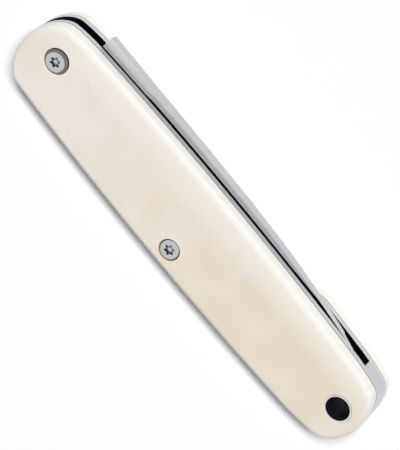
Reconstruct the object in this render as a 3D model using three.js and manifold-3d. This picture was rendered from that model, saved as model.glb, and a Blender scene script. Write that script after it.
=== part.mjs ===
// Slip-joint folding pocket knife, closed, lying on its back cover.
// X runs from the pivot end to the butt, Y from the back edge to the slot edge, Z up through the stack.
// The origin is the middle of the handle on the face that it lies on. All sizes are in millimetres.
import * as THREE from 'three';
import { mergeVertices } from 'three/addons/utils/BufferGeometryUtils.js';
import Module from 'manifold-3d';

const wasm = await Module();
wasm.setup();

// Handle outline
const HANDLE_LENGTH = 103.2;
const HANDLE_WIDTH = 21.15;
const SLOT_EDGE_RADIUS = 830;
const SLOT_EDGE_CREST_X = 8;
const BACK_EDGE_RADIUS = 740;
const BACK_EDGE_CREST_X = -9.2;
const PIVOT_END_MIDDLE_Y = -0.5;
const PIVOT_END_SLOT_CAP = 5.3;
const PIVOT_END_BACK_CAP = 5.8;
const BUTT_END_MIDDLE_Y = -0.3;
const BUTT_END_SLOT_CAP = 4.6;
const BUTT_END_BACK_CAP = 4.6;
const EDGE_DROOP = 1.5;
const SLOT_DROOP_LENGTH = 12;
const BACK_DROOP_LENGTH = 14;

// Stack, from the back cover to the front cover
const SCALE_THICKNESS = 3.2;
const SCALE_EDGE_ROUND = 1.2;
const LINER_THICKNESS = 1.2;
const WASHER_THICKNESS = 0.2;
const BLADE_THICKNESS = 2;

// Thumb notch in the back cover and its liner
const NOTCH_X = 15;
const NOTCH_LENGTH = 27.5;
const NOTCH_DEPTH = 4.8;

// Pivot, with its barrel and screws
const PIVOT_FROM_END = 8.05;
const PIVOT_ABOVE_MIDDLE = 1.6;
const PIVOT_BARREL_RADIUS = 2;
const PIVOT_HEAD_RADIUS = 2.62;
const PIVOT_HEAD_HEIGHT = 1.5;
const PIVOT_HEAD_PROUD = 0.65;
const PIVOT_COUNTERBORE_GAP = 0.2;
const PIVOT_SHANK_RADIUS = 1.25;
const PIVOT_SHANK_LENGTH = 3.6;
const WASHER_RADIUS = 4.4;

// Centre fastening of the backspring
const CENTRE_FROM_PIVOT = 43.45;
const CENTRE_BELOW_ROOT_FACE = 2.68;
const CENTRE_BARREL_RADIUS = 1.5;
const CENTRE_HEAD_RADIUS = 2.25;
const CENTRE_HEAD_HEIGHT = 1.1;
const CENTRE_COUNTERBORE_GAP = 0.12;
const CENTRE_SHANK_RADIUS = 1;
const CENTRE_SHANK_LENGTH = 3.4;

// Shared by both pairs of screws
const HEAD_SUNK = 0.05;
const HEAD_CHAMFER = 0.4;
const RECESS_RADIUS = 1.2;
const RECESS_LOBE = 0.19;
const RECESS_DEPTH = 0.8;
const PIN_CLEARANCE = 0.05;
const BARREL_END_GAP = 0.1;

// Lanyard tube
const TUBE_FROM_END = 5.75;
const TUBE_ABOVE_MIDDLE = 1;
const TUBE_RADIUS = 2.87;
const TUBE_WALL = 0.35;
const TUBE_FLARE = 0.14;
const TUBE_FLARE_HEIGHT = 0.4;
const TUBE_END_SUNK = 0.03;

// Blade, measured from the pivot
const SPINE_HEIGHT = 10.5;
const SPINE_DROP_START = 44;
const SPINE_DROP_RADIUS = 265;
const EDGE_DEPTH = 4;
const BELLY_START = 46;
const BELLY_POWER = 2.2;
const TIP_HEIGHT = 0.35;
const TIP_ROUND_LENGTH = 4;
const TIP_ROUND_DROP = 0.3;
const TIP_CLEARANCE = 3.6;
const TAPER_START = 61.5;
const TIP_TAPER = 0.67;
const SHOULDER_FROM_PIVOT = 3.5;
const SHOULDER_CORNER = 0.2;
const SHOULDER_ROOT = 0.3;
const TANG_HALF = 5.2;
const TANG_CORNER = 1.6;
const KICK_END = 7;
const KICK_SLOPE = 1.3;
const KICK_CORNER = 0.5;
const PLUNGE_START = 16.2;
const PLUNGE_LENGTH = 3;
const BEVEL_HEIGHT = 1;
const BEVEL_HALF_THICKNESS = 0.28;
const EDGE_HALF_THICKNESS = 0.04;
const CHOIL_RADIUS = 1.1;
const NICK_HEIGHT = 7.4;
const NICK_WHEEL_RADIUS = 34;
const NICK_WHEEL_WIDTH = 1.7;
const NICK_DEPTH = 0.55;
const NICK_FACE_FROM_MIDDLE = 0.9;
const NICK_TILT = 0.35;

// Backspring
const SPRING_END_GAP = 0.06;
const NOSE_LENGTH = 9.6;
const NOSE_SLOPE = 3.4;
const NOSE_TIP_CORNER = 0.5;
const NOSE_HEEL_CORNER = 1.2;
const ARM_DEPTH = 4.2;
const ARM_START_CORNER = 3;
const ARM_END_CORNER = 5;
const ROOT_LENGTH_AHEAD = 5.3;
const ROOT_SLOPE = 6.5;
const ROOT_CORNER = 3;
const EDGE_CLEARANCE = 1.1;
const BELLY_RAMP_START = 17;
const BELLY_RAMP_CORNER = 8;
const BUTT_BLOCK_LENGTH = 9.05;
const BLOCK_FACE_BOTTOM = 3.6;
const BLOCK_FACE_CORNER = 1.5;

// Fineness of the curves
const ROUND_STEPS = 32;
const CAP_STEPS = 10;
const LONG_STEPS = 20;
const NOTCHED_LONG_STEPS = 48;
const ROUND_EDGE_STEPS = 5;
const CORNER_STEPS = 5;
const GRIND_STEPS = 32;
const RECESS_STEPS = 36;

// Places that follow from the sizes
const halfLength = HANDLE_LENGTH / 2;
const backLinerZ = SCALE_THICKNESS;
const channelZ = backLinerZ + LINER_THICKNESS;
const bladeZ = channelZ + WASHER_THICKNESS;
const channelWidth = BLADE_THICKNESS + 2 * WASHER_THICKNESS;
const frontLinerZ = channelZ + channelWidth;
const frontScaleZ = frontLinerZ + LINER_THICKNESS;
const frontZ = frontScaleZ + SCALE_THICKNESS;
const pivot = new THREE.Vector2(-halfLength + PIVOT_FROM_END, PIVOT_ABOVE_MIDDLE);
const tube = new THREE.Vector2(halfLength - TUBE_FROM_END, TUBE_ABOVE_MIDDLE);
const rootFaceY = pivot.y - EDGE_DEPTH - EDGE_CLEARANCE;
const centre = new THREE.Vector2(pivot.x + CENTRE_FROM_PIVOT, rootFaceY - CENTRE_BELOW_ROOT_FACE);
const slotEndX = halfLength - BUTT_BLOCK_LENGTH;
const bladeReach = slotEndX - TIP_CLEARANCE - pivot.x;

const pivotCounterbore = { front: PIVOT_HEAD_HEIGHT - PIVOT_HEAD_PROUD, back: PIVOT_HEAD_HEIGHT + HEAD_SUNK };
const centreCounterbore = { front: CENTRE_HEAD_HEIGHT + HEAD_SUNK, back: CENTRE_HEAD_HEIGHT + HEAD_SUNK };

// Solids for joining and cutting

function toSolid(geometry) {
  const bare = geometry.clone();
  bare.deleteAttribute('normal');
  bare.deleteAttribute('uv');
  const merged = mergeVertices(bare, 1e-4);
  const triangles = [];
  for (let i = 0; i < merged.index.count; i += 3) {
    const [a, b, c] = merged.index.array.slice(i, i + 3);
    if (a !== b && b !== c && c !== a) triangles.push(a, b, c);
  }
  const vertProperties = new Float32Array(merged.attributes.position.array);
  const triVerts = new Uint32Array(triangles);
  return new wasm.Manifold(new wasm.Mesh({ numProp: 3, vertProperties, triVerts }));
}

function toGeometry(solid) {
  const mesh = solid.getMesh();
  const geometry = new THREE.BufferGeometry();
  geometry.setAttribute('position', new THREE.BufferAttribute(mesh.vertProperties, 3));
  geometry.setIndex(new THREE.BufferAttribute(mesh.triVerts, 1));
  geometry.computeVertexNormals();
  return geometry;
}

function cut(geometry, ...tools) {
  return toGeometry(tools.reduce((solid, tool) => solid.subtract(toSolid(tool)), toSolid(geometry)));
}

function join(...geometries) {
  return toGeometry(geometries.map(toSolid).reduce((solid, other) => solid.add(other)));
}

// A skin over sections of equal point count, closed at both ends; place puts a section's point in space
function loft(sections, place) {
  const count = sections[0].length;
  const positions = sections.flatMap((section, k) => section.flatMap((point) => place(k, point)));
  const index = [];
  for (let k = 0; k + 1 < sections.length; k++) {
    for (let i = 0; i < count; i++) {
      const a = k * count + i;
      const b = k * count + ((i + 1) % count);
      index.push(a, b, b + count, a, b + count, a + count);
    }
  }
  const last = (sections.length - 1) * count;
  for (const [a, b, c] of THREE.ShapeUtils.triangulateShape(sections[0], [])) index.push(a, c, b);
  for (const [a, b, c] of THREE.ShapeUtils.triangulateShape(sections.at(-1), [])) {
    index.push(last + a, last + b, last + c);
  }
  const geometry = new THREE.BufferGeometry();
  geometry.setAttribute('position', new THREE.Float32BufferAttribute(positions, 3));
  geometry.setIndex(index);
  return geometry;
}

// A plate of even thickness with its lower face at z 0
function plate(outline, thickness) {
  return new THREE.ExtrudeGeometry(new THREE.Shape(outline), { depth: thickness, bevelEnabled: false });
}

// A turned form about a vertical axis at a place, from points of radius and height
function turned(place, profile) {
  const points = profile.map(([radius, height]) => new THREE.Vector2(radius, height));
  return new THREE.LatheGeometry(points, ROUND_STEPS).rotateX(Math.PI / 2).translate(place.x, place.y, 0);
}

function rod(place, radius, bottom, top) {
  return turned(place, [[0, bottom], [radius, bottom], [radius, top], [0, top]]);
}

// Corners given as x, y and rounding radius, turned into an outline with an arc at each corner
function roundedCorners(corners) {
  return corners.flatMap(([x, y, radius], i) => {
    const corner = new THREE.Vector2(x, y);
    if (!radius) return [corner];
    const before = corners.at(i - 1);
    const after = corners[(i + 1) % corners.length];
    const back = new THREE.Vector2(before[0] - x, before[1] - y).normalize();
    const ahead = new THREE.Vector2(after[0] - x, after[1] - y).normalize();
    const half = Math.acos(THREE.MathUtils.clamp(back.dot(ahead), -1, 1)) / 2;
    const bisector = back.clone().add(ahead).normalize();
    const middle = corner.clone().addScaledVector(bisector, radius / Math.sin(half));
    const start = corner.clone().addScaledVector(back, radius / Math.tan(half)).sub(middle);
    const turn = Math.sign(back.cross(ahead)) * (2 * half - Math.PI);
    return Array.from({ length: CORNER_STEPS + 1 }, (_, k) =>
      start.clone().rotateAround(new THREE.Vector2(), (turn * k) / CORNER_STEPS).add(middle));
  });
}

// Handle outline: two long shallow arcs, closed at each end by two quarter ellipses. The slot edge falls
// away a little more before both ends, and the back edge before the butt.

function droop(x, side) {
  if (side < 0 && x < 0) return 0;
  const length = side > 0 ? SLOT_DROOP_LENGTH : BACK_DROOP_LENGTH;
  return EDGE_DROOP * Math.max(0, 1 - (halfLength - Math.abs(x)) / length) ** 2;
}

function longEdgeY(x, side) {
  const radius = side > 0 ? SLOT_EDGE_RADIUS : BACK_EDGE_RADIUS;
  const fromCrest = x - (side > 0 ? SLOT_EDGE_CREST_X : BACK_EDGE_CREST_X);
  const arc = HANDLE_WIDTH / 2 - radius + Math.sqrt(radius ** 2 - fromCrest ** 2);
  return side * (arc - droop(x, side));
}

function capLength(end, side) {
  if (end < 0) return side > 0 ? PIVOT_END_SLOT_CAP : PIVOT_END_BACK_CAP;
  return side > 0 ? BUTT_END_SLOT_CAP : BUTT_END_BACK_CAP;
}

function edgeY(x, side) {
  const middle = x < 0 ? PIVOT_END_MIDDLE_Y : BUTT_END_MIDDLE_Y;
  const intoCap = Math.max(0, 1 - (halfLength - Math.abs(x)) / capLength(x, side));
  return middle + (longEdgeY(x, side) - middle) * Math.sqrt(1 - intoCap ** 2);
}

function stations(side, longSteps) {
  const inCap = (end, i) => {
    const angle = (i / CAP_STEPS) * (Math.PI / 2);
    return end * (halfLength - capLength(end, side) * (1 - Math.cos(angle)));
  };
  const from = inCap(-1, CAP_STEPS);
  const to = inCap(1, CAP_STEPS);
  const xs = [];
  for (let i = 0; i < CAP_STEPS; i++) xs.push(inCap(-1, i));
  for (let i = 0; i <= longSteps; i++) xs.push(from + ((to - from) * i) / longSteps);
  for (let i = CAP_STEPS - 1; i >= 0; i--) xs.push(inCap(1, i));
  return xs;
}

function notchDepth(x) {
  const turnAngle = (2 * Math.PI * (x - NOTCH_X)) / NOTCH_LENGTH;
  return Math.abs(turnAngle) < Math.PI ? (NOTCH_DEPTH * (1 + Math.cos(turnAngle))) / 2 : 0;
}

function handleOutline(notched) {
  const back = stations(-1, LONG_STEPS).map((x) => new THREE.Vector2(x, edgeY(x, -1)));
  const slot = stations(1, notched ? NOTCHED_LONG_STEPS : LONG_STEPS)
    .map((x) => new THREE.Vector2(x, edgeY(x, 1) - (notched ? notchDepth(x) : 0)));
  return [...back, ...slot.slice(1, -1).reverse()];
}

function insetOutline(outline, distance) {
  return outline.map((point, i) => {
    const along = outline[(i + 1) % outline.length].clone().sub(outline.at(i - 1)).normalize();
    return new THREE.Vector2(point.x - along.y * distance, point.y + along.x * distance);
  });
}

// Bone covers, flat inside and rounded along the outer edge

function scaleBlank(notched, outerFaceUp) {
  const outline = handleOutline(notched);
  const rings = [{ inset: 0, height: 0 }];
  for (let i = 0; i <= ROUND_EDGE_STEPS; i++) {
    const angle = (i / ROUND_EDGE_STEPS) * (Math.PI / 2);
    rings.push({
      inset: SCALE_EDGE_ROUND * (1 - Math.cos(angle)),
      height: SCALE_THICKNESS - SCALE_EDGE_ROUND * (1 - Math.sin(angle)),
    });
  }
  if (!outerFaceUp) rings.reverse().forEach((ring) => { ring.height = SCALE_THICKNESS - ring.height; });
  return loft(rings.map((ring) => insetOutline(outline, ring.inset)),
    (k, point) => [point.x, point.y, rings[k].height]);
}

// Cutters that run out past both faces of a cover, with the wide part towards its outer face
function steppedHole(place, radius, boreRadius, boreDepth, outerFaceUp) {
  const over = 1;
  const floor = SCALE_THICKNESS - boreDepth;
  const profile = [[0, -over], [radius, -over], [radius, floor], [boreRadius, floor],
    [boreRadius, SCALE_THICKNESS + over], [0, SCALE_THICKNESS + over]];
  return outerFaceUp ? turned(place, profile)
    : turned(place, profile.map(([r, z]) => [r, SCALE_THICKNESS - z]).reverse());
}

function tubeHole(outerFaceUp) {
  const over = 1;
  const radius = TUBE_RADIUS + PIN_CLEARANCE;
  const mouth = radius + TUBE_FLARE;
  const profile = [[0, -over], [radius, -over], [radius, SCALE_THICKNESS - TUBE_FLARE_HEIGHT],
    [mouth, SCALE_THICKNESS], [mouth, SCALE_THICKNESS + over], [0, SCALE_THICKNESS + over]];
  return outerFaceUp ? turned(tube, profile)
    : turned(tube, profile.map(([r, z]) => [r, SCALE_THICKNESS - z]).reverse());
}

function scale(side, notched, outerFaceUp) {
  return cut(scaleBlank(notched, outerFaceUp),
    steppedHole(pivot, PIVOT_BARREL_RADIUS + PIN_CLEARANCE, PIVOT_HEAD_RADIUS + PIVOT_COUNTERBORE_GAP,
      pivotCounterbore[side], outerFaceUp),
    steppedHole(centre, CENTRE_BARREL_RADIUS + PIN_CLEARANCE, CENTRE_HEAD_RADIUS + CENTRE_COUNTERBORE_GAP,
      centreCounterbore[side], outerFaceUp),
    tubeHole(outerFaceUp));
}

// Steel liners

function liner(notched) {
  const over = 1;
  const hole = (place, radius) => rod(place, radius + PIN_CLEARANCE, -over, LINER_THICKNESS + over);
  return cut(plate(handleOutline(notched), LINER_THICKNESS), hole(pivot, PIVOT_BARREL_RADIUS),
    hole(centre, CENTRE_BARREL_RADIUS), hole(tube, TUBE_RADIUS));
}

// Backspring: nose under the tang, bending arm, fixed root, ramp under the belly, and butt block

function backspring() {
  const over = 1;
  const noseEndX = pivot.x - SHOULDER_FROM_PIVOT + SPRING_END_GAP;
  const noseFaceY = pivot.y - TANG_HALF;
  const armInnerY = (x) => edgeY(x, -1) + ARM_DEPTH;
  const armStartX = noseEndX + NOSE_LENGTH + NOSE_SLOPE;
  const rootStartX = centre.x - ROOT_LENGTH_AHEAD;
  const armEndX = rootStartX - ROOT_SLOPE;
  const inner = roundedCorners([
    [slotEndX, edgeY(slotEndX, 1), 0],
    [slotEndX, pivot.y + BLOCK_FACE_BOTTOM, BLOCK_FACE_CORNER],
    [pivot.x + BELLY_START + BELLY_RAMP_START, rootFaceY, BELLY_RAMP_CORNER],
    [rootStartX, rootFaceY, ROOT_CORNER],
    [armEndX, armInnerY(armEndX), ARM_END_CORNER],
    [armStartX, armInnerY(armStartX), ARM_START_CORNER],
    [noseEndX + NOSE_LENGTH, noseFaceY, NOSE_HEEL_CORNER],
    [noseEndX, noseFaceY, NOSE_TIP_CORNER],
    [noseEndX, edgeY(noseEndX, -1), 0],
  ]);
  const back = stations(-1, LONG_STEPS).filter((x) => x > noseEndX + over)
    .map((x) => new THREE.Vector2(x, edgeY(x, -1)));
  const slot = stations(1, LONG_STEPS).filter((x) => x > slotEndX + over && x < halfLength)
    .map((x) => new THREE.Vector2(x, edgeY(x, 1))).reverse();
  const hole = (place, radius) => rod(place, radius + PIN_CLEARANCE, -over, channelWidth + over);
  return cut(plate([...back, ...slot, ...inner], channelWidth),
    hole(centre, CENTRE_BARREL_RADIUS), hole(tube, TUBE_RADIUS));
}

// Blade, modelled about its pivot with its middle plane at z 0

function spineY(x) {
  const past = Math.max(0, x - SPINE_DROP_START);
  const intoTip = Math.max(0, 1 - (bladeReach - x) / TIP_ROUND_LENGTH);
  const arc = SPINE_HEIGHT - SPINE_DROP_RADIUS + Math.sqrt(SPINE_DROP_RADIUS ** 2 - past ** 2);
  return arc - TIP_ROUND_DROP * intoTip ** 2;
}

function cuttingEdgeY(x) {
  const along = Math.max(0, (x - BELLY_START) / (bladeReach - BELLY_START));
  const rise = spineY(bladeReach) - TIP_HEIGHT + EDGE_DEPTH;
  return -EDGE_DEPTH + rise * along ** BELLY_POWER;
}

function bladeSection(x) {
  const along = Math.max(0, (x - TAPER_START) / (bladeReach - TAPER_START));
  const taper = 1 - TIP_TAPER * along;
  const beforePlunge = 1 - THREE.MathUtils.clamp((x - PLUNGE_START) / PLUNGE_LENGTH, 0, 1);
  const ground = Math.sqrt(1 - beforePlunge ** 2);
  const full = (BLADE_THICKNESS / 2) * taper;
  const atBevel = full + (BEVEL_HALF_THICKNESS * taper - full) * ground;
  const atEdge = full + (EDGE_HALF_THICKNESS - full) * ground;
  const top = spineY(x);
  const bottom = cuttingEdgeY(x);
  const bevel = bottom + Math.min(BEVEL_HEIGHT, (top - bottom) / 2);
  return [[top, full], [bevel, atBevel], [bottom, atEdge], [bottom, -atEdge], [bevel, -atBevel], [top, -full]]
    .map(([y, z]) => new THREE.Vector2(y, z));
}

function groundBlade() {
  const overlap = 2;
  const xs = [PLUNGE_START - overlap, PLUNGE_START];
  for (let i = 1; i <= CORNER_STEPS; i++) {
    xs.push(PLUNGE_START + PLUNGE_LENGTH * (1 - Math.cos((i / CORNER_STEPS) * (Math.PI / 2))));
  }
  const from = xs.at(-1);
  for (let i = 1; i <= GRIND_STEPS; i++) {
    xs.push(from + (bladeReach - from) * Math.sin((i / GRIND_STEPS) * (Math.PI / 2)));
  }
  return loft(xs.map(bladeSection), (k, point) => [xs[k], point.x, point.y]);
}

function tangBlank() {
  const outline = roundedCorners([
    [-TANG_HALF, -TANG_HALF, TANG_CORNER],
    [KICK_END, -TANG_HALF, KICK_CORNER],
    [KICK_END + KICK_SLOPE, -EDGE_DEPTH, KICK_CORNER],
    [PLUNGE_START, -EDGE_DEPTH, 0],
    [PLUNGE_START, SPINE_HEIGHT, 0],
    [SHOULDER_FROM_PIVOT, SPINE_HEIGHT, SHOULDER_CORNER],
    [SHOULDER_FROM_PIVOT, TANG_HALF, SHOULDER_ROOT],
    [-TANG_HALF, TANG_HALF, TANG_CORNER],
  ]);
  return plate(outline, BLADE_THICKNESS).translate(0, 0, -BLADE_THICKNESS / 2);
}

function blade() {
  const over = 1;
  const half = BLADE_THICKNESS / 2 + over;
  const choil = new THREE.Vector2(PLUNGE_START - CHOIL_RADIUS, -EDGE_DEPTH);
  const nickX = NOTCH_X - pivot.x;
  const radius = NICK_WHEEL_RADIUS;
  const wheel = new THREE.CylinderGeometry(radius, radius, NICK_WHEEL_WIDTH, 4 * ROUND_STEPS)
    .translate(0, 0, -radius + NICK_DEPTH)
    .rotateX(NICK_TILT)
    .translate(nickX, NICK_HEIGHT, -NICK_FACE_FROM_MIDDLE);
  return cut(join(tangBlank(), groundBlade()), rod(choil, CHOIL_RADIUS, -half, half),
    rod(new THREE.Vector2(), PIVOT_BARREL_RADIUS + PIN_CLEARANCE, -half, half), wheel);
}

// Fasteners, washers and tube

function ring(outerRadius, innerRadius, length) {
  return turned(new THREE.Vector2(), [[innerRadius, 0], [outerRadius, 0], [outerRadius, length],
    [innerRadius, length], [innerRadius, 0]]);
}

// A six-lobe screw with the underside of its head at z 0
function screw(headRadius, headHeight, shankRadius, shankLength) {
  const over = 1;
  const body = turned(new THREE.Vector2(), [[0, -shankLength], [shankRadius, -shankLength], [shankRadius, 0],
    [headRadius, 0], [headRadius, headHeight - HEAD_CHAMFER], [headRadius - HEAD_CHAMFER, headHeight],
    [0, headHeight]]);
  const lobes = Array.from({ length: RECESS_STEPS }, (_, i) => {
    const angle = (2 * Math.PI * i) / RECESS_STEPS;
    const radius = RECESS_RADIUS - RECESS_LOBE * (1 - Math.cos(6 * angle));
    return new THREE.Vector2(radius * Math.cos(angle), radius * Math.sin(angle));
  });
  return cut(body, plate(lobes, RECESS_DEPTH + over).translate(0, 0, headHeight - RECESS_DEPTH));
}

function lanyardTube() {
  const inside = TUBE_RADIUS - TUBE_WALL;
  const low = TUBE_END_SUNK;
  const high = frontZ - TUBE_END_SUNK;
  return turned(new THREE.Vector2(), [
    [inside, low + TUBE_FLARE_HEIGHT], [inside + TUBE_FLARE, low], [TUBE_RADIUS + TUBE_FLARE, low],
    [TUBE_RADIUS, low + TUBE_FLARE_HEIGHT], [TUBE_RADIUS, high - TUBE_FLARE_HEIGHT],
    [TUBE_RADIUS + TUBE_FLARE, high], [inside + TUBE_FLARE, high], [inside, high - TUBE_FLARE_HEIGHT],
    [inside, low + TUBE_FLARE_HEIGHT],
  ]);
}

// Materials

const bone = { color: 0xf0eadf, roughness: 0.38, metalness: 0 };
const linerSteel = { color: 0xbfc2c4, roughness: 0.4, metalness: 1 };
const bladeSteel = { color: 0xcdd0d2, roughness: 0.22, metalness: 1 };
const screwSteel = { color: 0xc6c9cc, roughness: 0.3, metalness: 1 };
const bronze = { color: 0xb08a52, roughness: 0.45, metalness: 1 };

function piece(name, geometry, finish, z = 0, place = new THREE.Vector2()) {
  const mesh = new THREE.Mesh(geometry, new THREE.MeshStandardMaterial(finish));
  mesh.name = name;
  mesh.position.set(place.x, place.y, z);
  return mesh;
}

function turnedOver(mesh) {
  mesh.rotation.x = Math.PI;
  return mesh;
}

// Assembly

const group = new THREE.Group();

group.add(
  piece('back_scale', scale('back', true, false), bone),
  piece('back_liner', liner(true), linerSteel, backLinerZ),
  piece('backspring', backspring(), linerSteel, channelZ),
  piece('front_liner', liner(false), linerSteel, frontLinerZ),
  piece('front_scale', scale('front', false, true), bone, frontScaleZ),
);

const pivotBarrelZ = pivotCounterbore.back + BARREL_END_GAP;
const pivotBarrelLength = frontZ - pivotCounterbore.front - BARREL_END_GAP - pivotBarrelZ;
const centreBarrelZ = centreCounterbore.back + BARREL_END_GAP;
const centreBarrelLength = frontZ - centreCounterbore.front - BARREL_END_GAP - centreBarrelZ;

const pivotScrew = () =>
  screw(PIVOT_HEAD_RADIUS, PIVOT_HEAD_HEIGHT, PIVOT_SHANK_RADIUS, PIVOT_SHANK_LENGTH);
const centreScrew = () =>
  screw(CENTRE_HEAD_RADIUS, CENTRE_HEAD_HEIGHT, CENTRE_SHANK_RADIUS, CENTRE_SHANK_LENGTH);
const washer = () => ring(WASHER_RADIUS, PIVOT_BARREL_RADIUS + 2 * PIN_CLEARANCE, WASHER_THICKNESS);

group.add(
  piece('pivot_barrel', ring(PIVOT_BARREL_RADIUS, PIVOT_SHANK_RADIUS + PIN_CLEARANCE, pivotBarrelLength),
    screwSteel, pivotBarrelZ, pivot),
  piece('pivot_screw_front', pivotScrew(), screwSteel, frontZ - pivotCounterbore.front, pivot),
  turnedOver(piece('pivot_screw_back', pivotScrew(), screwSteel, pivotCounterbore.back, pivot)),
  piece('washer_back', washer(), bronze, channelZ, pivot),
  piece('washer_front', washer(), bronze, bladeZ + BLADE_THICKNESS, pivot),
);

group.add(
  piece('centre_barrel', ring(CENTRE_BARREL_RADIUS, CENTRE_SHANK_RADIUS + PIN_CLEARANCE, centreBarrelLength),
    screwSteel, centreBarrelZ, centre),
  piece('centre_screw_front', centreScrew(), screwSteel, frontZ - centreCounterbore.front, centre),
  turnedOver(piece('centre_screw_back', centreScrew(), screwSteel, centreCounterbore.back, centre)),
  piece('lanyard_tube', lanyardTube(), screwSteel, 0, tube),
);

group.add(piece('blade', blade(), bladeSteel, bladeZ + BLADE_THICKNESS / 2, pivot));

export default group;
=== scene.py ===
# A slip-joint pocket knife with smooth bone covers, closed and lying on its back cover.
# X runs from the pivot end to the butt, Y from the back edge to the slot edge, Z up through the stack.
import math

import bmesh
import bpy
from mathutils import Matrix, Vector


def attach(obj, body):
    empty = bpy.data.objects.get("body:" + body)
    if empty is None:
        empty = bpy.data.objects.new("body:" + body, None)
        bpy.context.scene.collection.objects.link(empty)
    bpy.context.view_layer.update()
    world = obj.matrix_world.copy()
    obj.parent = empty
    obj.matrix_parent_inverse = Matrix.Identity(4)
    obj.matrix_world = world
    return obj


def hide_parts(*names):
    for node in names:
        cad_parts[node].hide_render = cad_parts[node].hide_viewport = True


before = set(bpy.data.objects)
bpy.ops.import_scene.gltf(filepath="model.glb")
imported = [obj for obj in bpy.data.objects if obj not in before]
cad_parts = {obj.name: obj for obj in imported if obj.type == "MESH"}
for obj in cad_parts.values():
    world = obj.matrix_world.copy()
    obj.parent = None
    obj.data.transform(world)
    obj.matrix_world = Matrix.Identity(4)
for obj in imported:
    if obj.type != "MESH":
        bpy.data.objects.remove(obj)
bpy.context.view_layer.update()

# Camera
# It looks down on the front cover from the slot side, 33 degrees off square and from about half a metre,
# and the knife lies aslant in the picture with its butt at the lower right.
MM = 0.001
PICTURE_WIDTH = 80 * MM
CAMERA_DISTANCE = 550 * MM
CAMERA_TILT = math.radians(33)
CAMERA_TURN = math.radians(50.75)
CAMERA_AIM = Vector((-0.07, 2.86, 10.38)) * MM
SENSOR_WIDTH = 36

towards_camera = Vector((0, math.sin(CAMERA_TILT), math.cos(CAMERA_TILT)))
along = Vector((1, 0, 0))
across = Vector((0, math.cos(CAMERA_TILT), -math.sin(CAMERA_TILT)))
picture_right = along * math.cos(CAMERA_TURN) + across * math.sin(CAMERA_TURN)
picture_up = across * math.cos(CAMERA_TURN) - along * math.sin(CAMERA_TURN)

bpy.ops.object.camera_add()
camera = bpy.context.object
camera.name = "camera"
camera.data.sensor_fit = "HORIZONTAL"
camera.data.sensor_width = SENSOR_WIDTH
camera.data.lens = SENSOR_WIDTH * CAMERA_DISTANCE / PICTURE_WIDTH
camera.matrix_world = Matrix.Translation(CAMERA_AIM + towards_camera * CAMERA_DISTANCE) @ Matrix(
    (picture_right, picture_up, towards_camera)).transposed().to_4x4()
bpy.context.scene.camera = camera

# Back cover
# A slab of cattle bone, sawn to the handle's outline, flat inside and rounded over outside. It lies on the
# liner with a hair's groove between them, and has a notch for the thumb and holes for the two screws and
# the lanyard tube. Bone polishes to a soft shine and shows pale lengthwise streaks and a few brown pores.
# Its colour is painted whiter towards the slot edge as a highlight, and its walls a greyer white as sheen.
# In its holes it is rough as drilled and painted darker as shade, and it is painted darker along the seam
# at the liner.
HANDLE_LENGTH = 103.2 * MM
HANDLE_WIDTH = 21.15 * MM
HALF_LENGTH = HANDLE_LENGTH / 2
LONG_EDGES = {1: (830 * MM, 8 * MM), -1: (740 * MM, -9.2 * MM)}
EDGE_DROOP = 1.5 * MM
DROOP_LENGTHS = {(-1, 1): 12 * MM, (1, 1): 12 * MM, (1, -1): 14 * MM}
END_MIDDLES = {-1: -0.5 * MM, 1: -0.3 * MM}
END_CAPS = {(-1, 1): 5.3 * MM, (-1, -1): 5.8 * MM, (1, 1): 4.6 * MM, (1, -1): 4.6 * MM}
EDGE_STEPS = 200

NOTCH_X = 15 * MM
NOTCH_LENGTH = 27.5 * MM
NOTCH_DEPTH = 4.8 * MM

COVER_THICKNESS = 3.2 * MM
COVER_ROUND = 1.2 * MM
COVER_ROUND_STEPS = 10
GROOVE = 0.2 * MM

PIVOT = Vector((-43.55, 1.6)) * MM
CENTRE = Vector((-0.1, -6.18)) * MM
TUBE = Vector((45.85, 1)) * MM
PIVOT_HOLE = 2.05 * MM
PIVOT_COUNTERBORE = 2.82 * MM
PIVOT_BACK_DEPTH = 1.55 * MM
CENTRE_HOLE = 1.55 * MM
CENTRE_COUNTERBORE = 2.37 * MM
CENTRE_DEPTH = 1.15 * MM
TUBE_HOLE = 2.92 * MM
TUBE_MOUTH = 3.06 * MM
TUBE_FLARE_HEIGHT = 0.4 * MM
TURNED_STEPS = 96
OVERRUN = 1 * MM
NEARNESS = 0.02 * MM
MERGED = 0.002 * MM
SLIVER = 0.001 * MM
SHARP_ANGLE = math.radians(40)
SMOOTH_ANGLE = math.radians(32)
BONE_BEVEL = 0.07 * MM


def handle_edge(x, side):
    """Where the handle's edge lies at x: side 1 is the slot edge and side -1 the back edge."""
    end = 1 if x > 0 else -1
    radius, crest = LONG_EDGES[side]
    reach = HANDLE_WIDTH / 2 - radius + math.sqrt(radius ** 2 - (x - crest) ** 2)
    if (end, side) in DROOP_LENGTHS:
        reach -= EDGE_DROOP * max(0, 1 - (HALF_LENGTH - abs(x)) / DROOP_LENGTHS[end, side]) ** 2
    into_cap = max(0, 1 - (HALF_LENGTH - abs(x)) / END_CAPS[end, side])
    return END_MIDDLES[end] + (side * reach - END_MIDDLES[end]) * math.sqrt(1 - into_cap ** 2)


def notch_depth(x):
    turn = 2 * math.pi * (x - NOTCH_X) / NOTCH_LENGTH
    return NOTCH_DEPTH * (1 + math.cos(turn)) / 2 if abs(turn) < math.pi else 0


def edge_points(side, start, end, notched=False):
    """Points along one edge of the handle, closer together towards its ends."""
    points = []
    for step in range(EDGE_STEPS + 1):
        x = HALF_LENGTH * math.sin(math.pi * (step / EDGE_STEPS - 0.5))
        if start <= x <= end:
            points.append((x, handle_edge(x, side) - (notch_depth(x) if notched else 0)))
    return points


def handle_outline(notched):
    back = edge_points(-1, -HALF_LENGTH, HALF_LENGTH)
    slot = edge_points(1, -HALF_LENGTH, HALF_LENGTH, notched)
    return back + slot[-2:0:-1]


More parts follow.
